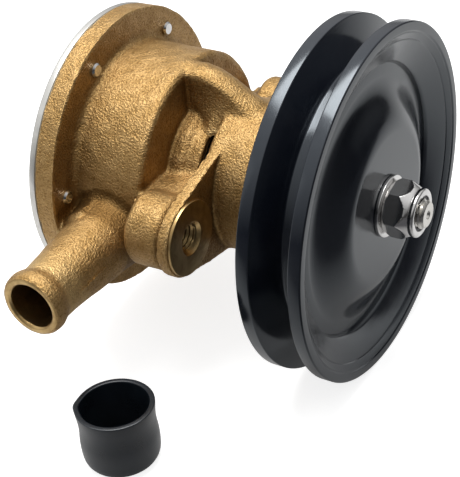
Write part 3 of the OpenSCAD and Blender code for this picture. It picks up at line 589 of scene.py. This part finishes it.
def cast_field(p):
    """Distance to the casting before any tool touches it, with the slight waves of a sand mould."""
    body = body_field(p)
    outline = np.minimum(teardrop(p[1], p[2], PLATE_R, LUG_R, LUG_Y),
                         teardrop(-p[1], p[2], PLATE_R, LUG_R, LUG_Y))
    plate = slab(outline, np.maximum(PLATE_BACK - p[0], p[0] - PLATE_FRONT), 0.7)
    front = join(plate, disc(p, *BEARING_HOUSING), 1.3)
    for side in (-1, 1):
        web = block(p, (LOW_WEB_BACK, min(0, side * LUG_Y), LOW_WEB_BOTTOM),
                    (LOW_WEB_FRONT, max(0, side * LUG_Y), LOW_WEB_TOP), 1.0)
        body = join(body, join(disc(beside(p, side), *LUG_BOSS), web, 1.6), 1.8)
    whole = join(join(body, front, 0.7), upper_web_field(p), 1.5)
    whole = np.maximum(whole, -disc(p, *DRAIN_GAP_BACK))
    whole = np.maximum(whole, -disc(p, *DRAIN_GAP_FRONT))
    waves = (np.sin(0.31 * p[0] + 0.23 * p[1]) + np.sin(0.27 * p[1] - 0.35 * p[2] + 1.0)
             + np.sin(0.9 * p[2] + 0.5 * p[0] + 2.0) * 0.5 + np.sin(0.8 * p[1] - 0.6 * p[0]) * 0.5)
    return whole + 0.06 * waves


def cut_field(p):
    """Distance to everything that tools cut away: the bores, and room for the linings of holes and mouths."""
    cuts = [disc(p, *bore) for bore in (CHAMBER, SEAL_POCKET, SHAFT_HOLE, GREASE_SEAL_SEAT, BEARING_SEAT)]
    cuts += [disc(beside(p, side), *LUG_HOLE) for side in (-1, 1)]
    for side in (0, 1):
        along, r = tail_frame(p, side)
        cuts.append(np.maximum(r - np.where(along > 56.0, PORT_R + 0.5, PORT_R), -along))
    return np.minimum.reduce(cuts)


def finished_field(p):
    """The casting less what was cut away."""
    return np.maximum(cast_field(p), -cut_field(p))


# %% [markdown]
# ## From a field to a mesh
#
# The field is sampled on a grid of small cubes. Wherever an edge of a cube crosses the surface,
# the crossing point and the direction of the surface there are known. Each cube then gets one
# point, placed where all the planes through its crossings meet best. That keeps machined edges
# sharp, which a plain average would round off.

# %% Turn a distance field into points and faces
def steepest(field, p, step=0.05):
    """Direction in which a field grows fastest at each point, from differences along the three axes."""
    slope = np.stack([field((p + step * e).T) - field((p - step * e).T) for e in np.eye(3)], axis=1)
    return slope / np.maximum(np.linalg.norm(slope, axis=1, keepdims=True), 1e-9)


def surface_of(field, low, high, step):
    """Points and quads where field is zero, one point for each cube that the surface passes through.

    A cube's crossings p, with normals n, are measured from their average. Its point x solves
    (sum of n n^T + 0.06) x = sum of n (n . p), where the 0.06 keeps x near the average on flat ground.
    """
    axes = [np.arange(low[k], high[k] + step, step) for k in range(3)]
    value = np.concatenate([field(np.meshgrid(part, axes[1], axes[2], indexing="ij"))
                            for part in np.array_split(axes[0], 8)])
    inside = value < 0
    cells = np.array(value.shape) - 1
    stride = np.array([cells[1] * cells[2], cells[2], 1])
    points, normals, owners, quads = [], [], [], []
    for k in range(3):
        first = [slice(None)] * 3
        second = [slice(None)] * 3
        first[k], second[k] = slice(0, -1), slice(1, None)
        at = np.argwhere(inside[tuple(first)] != inside[tuple(second)])
        next_to = at + np.eye(3, dtype=int)[k]
        v0, v1 = value[tuple(at.T)], value[tuple(next_to.T)]
        crossing = np.stack([axes[m][at[:, m]] for m in range(3)], axis=1)
        crossing[:, k] += step * v0 / (v0 - v1)
        u, v = [m for m in range(3) if m != k]
        around = np.stack([(at - du * np.eye(3, dtype=int)[u] - dv * np.eye(3, dtype=int)[v]) @ stride
                           for du, dv in ((1, 1), (0, 1), (0, 0), (1, 0))], axis=1)
        points.append(crossing)
        normals.append(steepest(field, crossing))
        owners.append(around)
        quads.append(np.where(((v0 < 0) ^ (k == 1))[:, None], around, around[:, ::-1]))
    points, normals = np.concatenate(points), np.concatenate(normals)
    owners, quads = np.concatenate(owners), np.concatenate(quads)
    cell_ids, own = np.unique(owners, return_inverse=True)
    own, count = own.ravel(), len(cell_ids)

    def total(values):
        """Adds up a value of every crossing in each cube."""
        return np.bincount(own, np.repeat(values, 4), count)

    share = 1.0 / total(np.ones(len(points)))
    middle = np.stack([total(points[:, i]) * share for i in range(3)], axis=1)
    n4 = np.repeat(normals, 4, axis=0)
    gap = (n4 * (np.repeat(points, 4, axis=0) - middle[own])).sum(axis=1)
    matrix = np.stack([np.stack([total(normals[:, i] * normals[:, j]) for j in range(3)], axis=1)
                       for i in range(3)], axis=1) + 0.06 * np.eye(3)
    right = np.stack([np.bincount(own, n4[:, i] * gap, count) for i in range(3)], axis=1)
    move = np.linalg.solve(matrix, right[:, :, None])[:, :, 0]
    return middle + np.clip(move, -0.9 * step, 0.9 * step), np.searchsorted(cell_ids, quads)


# %% [markdown]
# ## Painted shade in hollows, painted highlight on edges
#
# On a flat surface the field is h at a height h above it. In a hollow it is less, because a wall is
# near on the other side, and below an edge the depth is less in the same way. So two more looks at
# the field tell how deep in a hollow or how sharp each place is. The shader turns these numbers
# into painted shade in the hollows and a painted highlight on the edges. A band round the root of
# each tail gets the same painted shade and loses its painted highlight.

# %% Build the casting
SHADE_REACH, HIGHLIGHT_REACH = 3.5, 1.3
room = 1.8
skin_verts, skin_quads = surface_of(finished_field, body_low - room, body_high + room,
                                    0.88)
skin_verts = np.clip(skin_verts, body_low, body_high)
away = steepest(finished_field, skin_verts)
# painted shade: the deeper a point sits in a hollow, the darker it is painted
hollow_shade = 1 - finished_field((skin_verts + SHADE_REACH * away).T) / SHADE_REACH
# painted highlight: the sharper an edge, the lighter it is painted
edge = 1 + finished_field((skin_verts - HIGHLIGHT_REACH * away).T) / HIGHLIGHT_REACH
# painted shade: a band round the root of each tail, 25 to 48.5 mm out along it, is darkened and loses its painted
# highlight
for side in (0, 1):
    along, r = tail_frame(skin_verts.T, side)
    root_shade = 0.85 * np.clip((48.5 - along) / 2.0, 0, 1) * np.clip((along - 25.0) / 5.0, 0, 1) * (r < 17.0)
    hollow_shade, edge = np.maximum(hollow_shade, root_shade), edge * (1 - root_shade)
casting = finish_mesh("casting", skin_verts, skin_quads, "housing", ["pump_body"], bronze, sharp=42.0,
                      values={"hollow_shade": np.clip(hollow_shade, 0, 1), "edge": np.clip(edge, 0, 1)})

# %% [markdown]
# ## Where a tool has been
#
# A cutter leaves crisp circles, too fine for the grid of the casting. So each lug face with its
# threaded hole, and each mouth of a hose tail with its bore, is a turned lining set into the
# casting, a hair proud of it.

# %% Build the machined linings
PITCH = 1.5
THREAD_R = 4.3


def thread_wave(x, a):
    """Goes from 1 to 0 and back once per pitch: |2 * fraction - 1| of the phase x / pitch - a / turn."""
    return np.abs(2 * ((x / PITCH - a / (2 * np.pi)) % 1) - 1)


def lining_thread(r, x, a):
    """In the hole the radius is THREAD_R + 0.6 * wave."""
    return np.where((r < THREAD_R + 0.2) & (r > THREAD_R - 0.1), THREAD_R + 0.6 * thread_wave(x, a), r)


hole_x = np.arange(-52.0, -39.5, 0.16)
lug_profile = np.concatenate([
    [(0.0, -54.4), (4.1, -52.2)], np.stack([np.full_like(hole_x, THREAD_R), hole_x], axis=1),
    rounded([(5.0, -39.3), (5.8, LUG_FACE), (LUG_FACE_R, LUG_FACE), (LUG_FACE_R, -41.5), (7.5, -41.5),
             (7.5, -56.0)], [0, 0.12, 0.25, 0, 0, 0]), [(0.0, -56.0)]])
lug_verts, lug_quads = turned(lug_profile, 112, lining_thread)
lugs = joined(*[(placed(lug_verts, (0, side * LUG_Y, 0), (1, 0, 0), (0, 1, 0)), lug_quads) for side in (-1, 1)])
lug_faces = finish_mesh("lug_faces", *lugs, "housing", [], cut_bronze, sharp=30.0)

mouth_profile = rounded([(PORT_R, 50.0), (PORT_R, 82.8), (8.7, TAIL_END), (10.0, TAIL_END), (10.5, 82.9),
                         (9.6, 82.2), (8.8, 80.0), (8.8, 50.0)], [0, 0.2, 0.25, 0.5, 0.2, 0, 0, 0])
mouth_verts, mouth_quads = turned(mouth_profile, 144)
mouth_shells = []
for side in (0, 1):
    c, s = np.cos(TAIL_TURNS[side]), np.sin(TAIL_TURNS[side])
    origin = (TAIL_X, -s * TAIL_ASIDE[side], c * TAIL_ASIDE[side])
    mouth_shells.append((placed(mouth_verts, origin, (0, c, s), (1, 0, 0)), mouth_quads))
tail_mouths = finish_mesh("tail_mouths", *joined(*mouth_shells), "housing", [], cut_bronze, sharp=30.0)

# %% [markdown]
# ## The flash line
#
# Where the halves of the mould met, a thread of metal squeezed out along the visible tail. It
# is a thin closed tube that wanders a little from side to side and sinks into the skin at both ends.

# %% Build the flash line
FLASH_FROM, FLASH_TO = 71.0, 56.5
share = np.linspace(0, 1, 90)[:, None]
round_tube = np.linspace(0, 2 * np.pi, 6, endpoint=False)[None, :]
flash_along = FLASH_FROM - (FLASH_FROM - FLASH_TO) * share
wander = 1.3 * np.sin(17 * share) * np.sin(5 * share + 1) + 0.5 * np.sin(61 * share)
flash_thick = 0.22 * np.sin(np.pi * share) ** 0.4 * (0.75 + 0.25 * np.sin(37 * share))
flash_r = np.interp(flash_along, TAIL_AT, TAIL_R) + 0.16 + flash_thick * np.cos(round_tube)
flash_turn = np.radians(2 + 7 * share + wander) + flash_thick * np.sin(round_tube) / flash_r
flash_verts = np.stack([TAIL_X + flash_r * np.cos(flash_turn), -flash_along + 0 * flash_r,
                        -TAIL_ASIDE[0] + flash_r * np.sin(flash_turn)], axis=-1).reshape(-1, 3)
flash = finish_mesh("parting_flash", flash_verts, grid_faces(90, 6), "housing", [], cut_bronze)

# %% [markdown]
# ## The pulley
#
# The pulley is one turned piece: a V groove between two rims, a dished web and a raised flat disc
# that the washer bears on. The shoulder of the disc runs into the web in a long S, because the
# gloss paint would show any kink there as a broken reflection. Fine grooves run round near the rim.

# %% Build the pulley
hub_face = pulley_high[0]
face, rim_r, groove_r, web_t = 11.0, 60.0, 47.0, 5.0
share = np.linspace(0, 1, 48)[:, None]
shoulder = np.concatenate([24.75 + 17.35 * share,
                           hub_face - (hub_face - 4.4) * (1 - np.cos(np.pi * share)) / 2], axis=1)
outer = rounded([(45.6, 5.0), (53.6, 9.21), (53.85, 9.14), (54.1, 9.47), (56.2, 10.58), (56.45, 10.52),
                 (57.0, face), (59.6, face), (rim_r, face - 0.35), (rim_r, 6.7), (groove_r, 2.2),
                 (groove_r, -2.2), (rim_r, -6.7), (rim_r, -face), (57.0, -face), (45.6, -5.0)],
                [1.2, 0.1, 0.1, 0.1, 0.1, 0.1, 0.2, 0.12, 0.15, 0.3, 0.5, 0.5, 0.3, 0.4, 0.5, 1.2])
inner = (shoulder - [0, web_t])[::-1]
hub = np.array([(13.0, hub_face - web_t), (13.0, pulley_low[0]), (8.0, pulley_low[0]), (8.0, hub_face),
                (20.0, hub_face)])
pulley_profile = np.concatenate([shoulder, outer, inner, hub])
pulley = finish_mesh("pulley_painted", *turned(pulley_profile, 320),
                     "rotor", ["pulley"], paint, sharp=40.0)

# %% [markdown]
# ## Washer and lock nut
#
# The nut is a hexagon with its corners cut back by a cone, and a round collar that holds the
# locking insert. At every point its radius is the smaller of two: that of the turned profile,
# and that of the hexagon at that angle. Where the two meet, the curved edges of a real nut appear.

# %% Build washer and nut
back, front = washer_low[0], washer_high[0]
washer_profile = rounded([(5.3, back), (10.5, back), (10.5, front), (5.3, front)], [0.1, 0.35, 0.35, 0.2])
washer = finish_mesh("plain_washer", *turned(washer_profile, 160), "rotor", ["flat_washer"], bright_steel)

nut_back, nut_end = nut_low[0], nut_high[0]
nut_flat_r = 8.5
nut_corner_r = nut_flat_r / np.cos(np.pi / 6)
nut_turn = np.radians(32.5)
collar_x = nut_end - 2.1


def hexagon(r, x, a):
    """The smaller of the turned radius and the hexagon's: flat / cos(angle from the flat's middle)."""
    from_flat = (a - nut_turn + np.pi / 6) % (np.pi / 3) - np.pi / 6
    return np.minimum(r, nut_flat_r / np.cos(from_flat))


nut_outline = rounded([(5.0, nut_back), (8.4, nut_back), (nut_corner_r + 0.02, nut_back + 1.8),
                       (nut_corner_r + 0.02, collar_x - 3.5), (8.05, collar_x - 0.1), (7.85, collar_x + 0.1),
                       (8.15, collar_x + 0.35), (8.15, nut_end), (5.95, nut_end), (5.95, nut_end - 1.5),
                       (5.0, nut_end - 1.5)],
                      [0, 0.2, 0.3, 0.5, 0.15, 0.1, 0.2, 1.2, 0.3, 0.1, 0], steps=7)
nut_profile = np.concatenate([np.linspace(a, b, 6, endpoint=False)
                              for a, b in zip(nut_outline, np.roll(nut_outline, -1, 0))])
nut = finish_mesh("hexagon_lock_nut", *turned(nut_profile, 288, hexagon), "rotor", ["lock_nut"], bright_steel,
                  sharp=24.0)

# %% [markdown]
# ## The threaded end of the shaft
#
# A thread is a turned bar whose radius rises and falls once for every turn along it. The phase is
# the place along the shaft, less the angle as a share of a full turn, so the crest winds round.

# %% Build the shaft with its thread
crest_r, thread_depth = 5.0, 0.85
thread_start, shaft_end = hub_face + 0.3, shaft_high[0]


def threaded(r, x, a):
    """On the threaded length the radius is at most crest - depth * wave."""
    on_thread = (x > thread_start) & (r > crest_r - thread_depth)
    return np.where(on_thread, np.minimum(r, crest_r - thread_depth * thread_wave(x, a)), r)


thread_x = np.arange(thread_start, shaft_end - 0.8, 0.15)
thread = np.stack([np.full_like(thread_x, crest_r), thread_x], axis=1)
end_shape = rounded([(4.95, shaft_end - 0.8), (4.1, shaft_end), (1.5, shaft_end), (0.75, shaft_end - 1.4),
                     (0.75, shaft_end - 4.5)], [0.1, 0.2, 0.2, 0.2, 0])
body_shape = [(0.0, shaft_low[0]), (6.7, shaft_low[0]), (7.5, shaft_low[0] + 0.8), (7.5, -66.2), (8.5, -66.2),
              (8.5, -15.2), (8.0, -15.2), (8.0, hub_face - 0.5), (crest_r, hub_face - 0.5)]
shaft_profile = np.concatenate([body_shape, thread, end_shape, [(0.0, shaft_end - 5.2)]])
shaft = finish_mesh("threaded_shaft", *turned(shaft_profile, 144, threaded), "rotor", ["shaft"], shaft_steel)

# %% [markdown]
# ## Slinger and its washer
#
# A rubber ring on the shaft flings off any water that gets past the seal. Its edge shows in the
# open gap behind the mounting plate, with a thin bright washer behind it.

# %% Build slinger and washer
back, front, r = ring_low[0], ring_high[0], ring_high[2]
slinger_profile = rounded([(8.5, back), (r - 1.0, back), (r, back + 1.0), (r, front - 1.0), (r - 1.0, front),
                           (8.5, front)], [0, 0.6, 0.8, 0.8, 0.6, 0])
slinger = finish_mesh("slinger_ring", *turned(slinger_profile, 128), "rotor", ["slinger"], seal_rubber)
back, front, r = backing_low[0], backing_high[0], backing_high[2]
backing_profile = rounded([(8.5, back), (r, back), (r, front), (8.5, front)], [0, 0.15, 0.15, 0])
backing = finish_mesh("slinger_backing", *turned(backing_profile, 128), "rotor", ["slinger_washer"], bright_steel)

# %% [markdown]
# ## Cover and gasket
#
# Behind the flange is a flat stainless cover on a fibre gasket. From the front only their rims
# show, as a bright line behind the bronze, so both are turned finely enough to stay round.

# %% Build cover and gasket
back, front, r = cover_low[0], cover_high[0], cover_high[2]
cover_profile = rounded([(0.0, back), (r, back), (r, front), (0.0, front)], [0, 0.6, 0.15, 0])
cover = finish_mesh("flat_cover", *turned(cover_profile, 256), "housing", ["end_cover"], sheet_steel)
gasket_profile = [(32.0, front), (r - 0.3, front), (r - 0.3, front + 0.4), (32.0, front + 0.4)]
gasket = finish_mesh("fibre_gasket", *turned(gasket_profile, 256), "housing", ["cover_gasket"], gasket_fibre)

# %% [markdown]
# ## The soft cap
#
# A vinyl cap is dipped or moulded, and its soft rim never stays quite round once it is pulled off.
# Its profile is turned about an upright axis, and the radius then gets a slow wave round the rim
# that fades away towards the stiffer bottom.

# %% Build the cap
cap_mid = (cap_low + cap_high) / 2
tall = cap_high[2] - cap_low[2]
wall = rounded([(0.0, 0.0), (12.4, 0.0), (13.15, tall * 0.36), (12.45, tall * 0.68), (13.45, tall - 0.6),
                (13.5, tall), (11.7, tall), (11.0, tall * 0.7), (11.5, 2.0), (0.0, 2.0)],
               [0, 4.6, 5.0, 4.0, 0.9, 0.6, 0.6, 3.0, 1.6, 0], steps=9)


def soft_wall(points, steps=192):
    """(x, y, z) of the turned wall, pressed slightly oval towards the rim, with one pinched corner.

    rise grows from 0 at the bottom to 1 at the rim, as the third power of the height. The radius is
    r * (1 - 0.012 * rise * (1 - cos 2(a - 0.6))), less 0.55 * rise except near the corner.
    """
    a = np.linspace(0, 2 * np.pi, steps, endpoint=False)[None, :]
    r, z = points[:, :1], points[:, 1:]
    rise = np.clip(z / tall, 0, 1) ** 3
    from_corner = (a - np.radians(208) + np.pi) % (2 * np.pi) - np.pi
    corner = np.exp(-(from_corner / 0.2) ** 2)
    r = r * (1 - 0.012 * rise * (1 - np.cos(2 * (a - 0.6)))) - 0.55 * rise * (1 - corner)
    z = z - 0.5 * rise * (np.sin(a - 1.0) * 0.5 + 0.5) + 0 * r
    verts = np.stack([cap_mid[0] + r * np.cos(a), cap_mid[1] + r * np.sin(a), cap_low[2] + z], axis=-1)
    return verts.reshape(-1, 3), grid_faces(len(points), steps)


cap = finish_mesh("soft_cap", *soft_wall(wall), "cap", ["hose_tail_cap"], cap_vinyl, sharp=50.0)

# %% [markdown]
# ## Floor and light
#
# The photograph has a plain white ground. The floor is pale, keeps a soft shadow, and shows as
# white to the camera. Past the pulley the floor is painted dark, though the camera still sees it
# white: a painted shadow of the pump, and beyond it the darker table past the pale sheet, both of
# which the gloss paint mirrors. One large soft lamp hangs above, a weak one fills in from the
# left, and the surround is bright overhead and dim towards the sides.

# %% Floor
floor_mesh = bpy.data.meshes.new("floor")
half = 3.0
corners = ((-half, -half), (half, -half), (half, half), (-half, half))
floor_mesh.from_pydata([(x, y, FLOOR_Z * MM) for x, y in corners], [], [(0, 1, 2, 3)])
floor = bpy.data.objects.new("floor", floor_mesh)
bpy.context.scene.collection.objects.link(floor)
floor_paint = bpy.data.materials.new("floor_white")
floor_paint.use_nodes = True
tree = floor_paint.node_tree
skin = tree.nodes["Principled BSDF"]
skin.inputs["Base Color"].default_value = (0.6, 0.6, 0.6, 1.0)
skin.inputs["Roughness"].default_value = 0.9
skin.inputs["Emission Color"].default_value = (1.0, 1.0, 1.0, 1.0)
axes = split_axes(tree, tree.nodes.new("ShaderNodeTexCoord").outputs["Object"])
# painted shadow: along x - 0.9 y past the pulley the floor turns dark, partly the pump's shadow and partly the
# darker table beyond the sheet
beyond = maths(tree, "SUBTRACT", axes["X"], maths(tree, "MULTIPLY", axes["Y"], 0.9))
beyond = spread(tree, beyond, 0.03, 0.13)
tree.links.new(blend_colours(tree, beyond, (0.6, 0.6, 0.6), (0.06, 0.06, 0.065)), skin.inputs["Base Color"])
ray = tree.nodes.new("ShaderNodeLightPath")
seen = maths(tree, "MULTIPLY", ray.outputs["Is Camera Ray"], spread(tree, beyond, 0.0, 1.0, 0.8, 1.0))
# the same painted shadow dims the floor's glow in reflections
shine = maths(tree, "MULTIPLY", ray.outputs["Is Glossy Ray"], spread(tree, beyond, 0.0, 1.0, 0.14, 0.005))
tree.links.new(maths(tree, "MAXIMUM", seen, shine), skin.inputs["Emission Strength"])
floor_mesh.materials.append(floor_paint)

# %% Surround and lamps
world = bpy.data.worlds.new("studio")
bpy.context.scene.world = world
world.use_nodes = True
tree = world.node_tree
background = tree.nodes["Background"]
background.inputs["Color"].default_value = (1.0, 1.0, 1.0, 1.0)
ray = tree.nodes.new("ShaderNodeLightPath")
seen = maths(tree, "MAXIMUM", ray.outputs["Is Camera Ray"], ray.outputs["Is Transmission Ray"])
towards = tree.nodes.new("ShaderNodeVectorMath")
towards.operation = "DOT_PRODUCT"
towards.inputs[1].default_value = (-0.24, 0.10, 0.966)
tree.links.new(tree.nodes.new("ShaderNodeTexCoord").outputs["Generated"], towards.inputs[0])
sky = spread(tree, towards.outputs["Value"], 0.0, 0.95, 0.04, 0.85)
brighter = maths(tree, "ADD", 1.0, maths(tree, "MULTIPLY", ray.outputs["Is Glossy Ray"], 0.35))
sky = maths(tree, "MULTIPLY", sky, brighter)
tree.links.new(maths(tree, "MAXIMUM", seen, sky), background.inputs["Strength"])


def lamp(name, at, towards, size, watts):
    """A square soft lamp at a point in metres, facing another."""
    data = bpy.data.lights.new(name, "AREA")
    data.shape, data.size, data.energy = "SQUARE", size, watts
    made = bpy.data.objects.new(name, data)
    made.location = at
    aim = np.array(towards) - np.array(at)
    aim = aim / np.linalg.norm(aim)
    side = np.cross(aim, (0, 0, 1))
    side = side / np.linalg.norm(side)
    up = np.cross(side, aim)
    made.rotation_euler = Matrix(np.stack([side, up, -aim], axis=1).tolist()).to_euler()
    bpy.context.scene.collection.objects.link(made)


PUMP_MIDDLE = (-0.04, 0.0, 0.0)
lamp("key", (-0.18, 0.06, 0.95), PUMP_MIDDLE, 0.6, 9.8)
lamp("fill", (-0.75, -0.6, 0.35), PUMP_MIDDLE, 0.6, 0.4)

# %% [markdown]
# ## Camera
#
# The camera stands where the photograph was taken: found by fitting the ellipses of the pulley,
# flange, bearing housing and lugs. Its three axes are given as they were fitted.

# %% Camera
camera_data = bpy.data.cameras.new("camera")
camera_data.lens = 100.91
camera_data.sensor_width = 36.0
camera_data.sensor_fit = "AUTO"
camera = bpy.data.objects.new("camera", camera_data)
right = np.array((0.8609, 0.5018, -0.0842))
up = np.array((-0.2260, 0.5254, 0.8203))
behind = -np.array((-0.4559, 0.6872, -0.5657))
turn = np.eye(4)
turn[:3, :3] = np.stack([right, up, behind], axis=1)
turn[:3, 3] = np.array((168.1, -330.3, 241.6)) * MM
camera.matrix_world = Matrix(turn.tolist())
bpy.context.scene.collection.objects.link(camera)
bpy.context.scene.camera = camera
bpy.context.scene.view_settings.view_transform = "Standard"
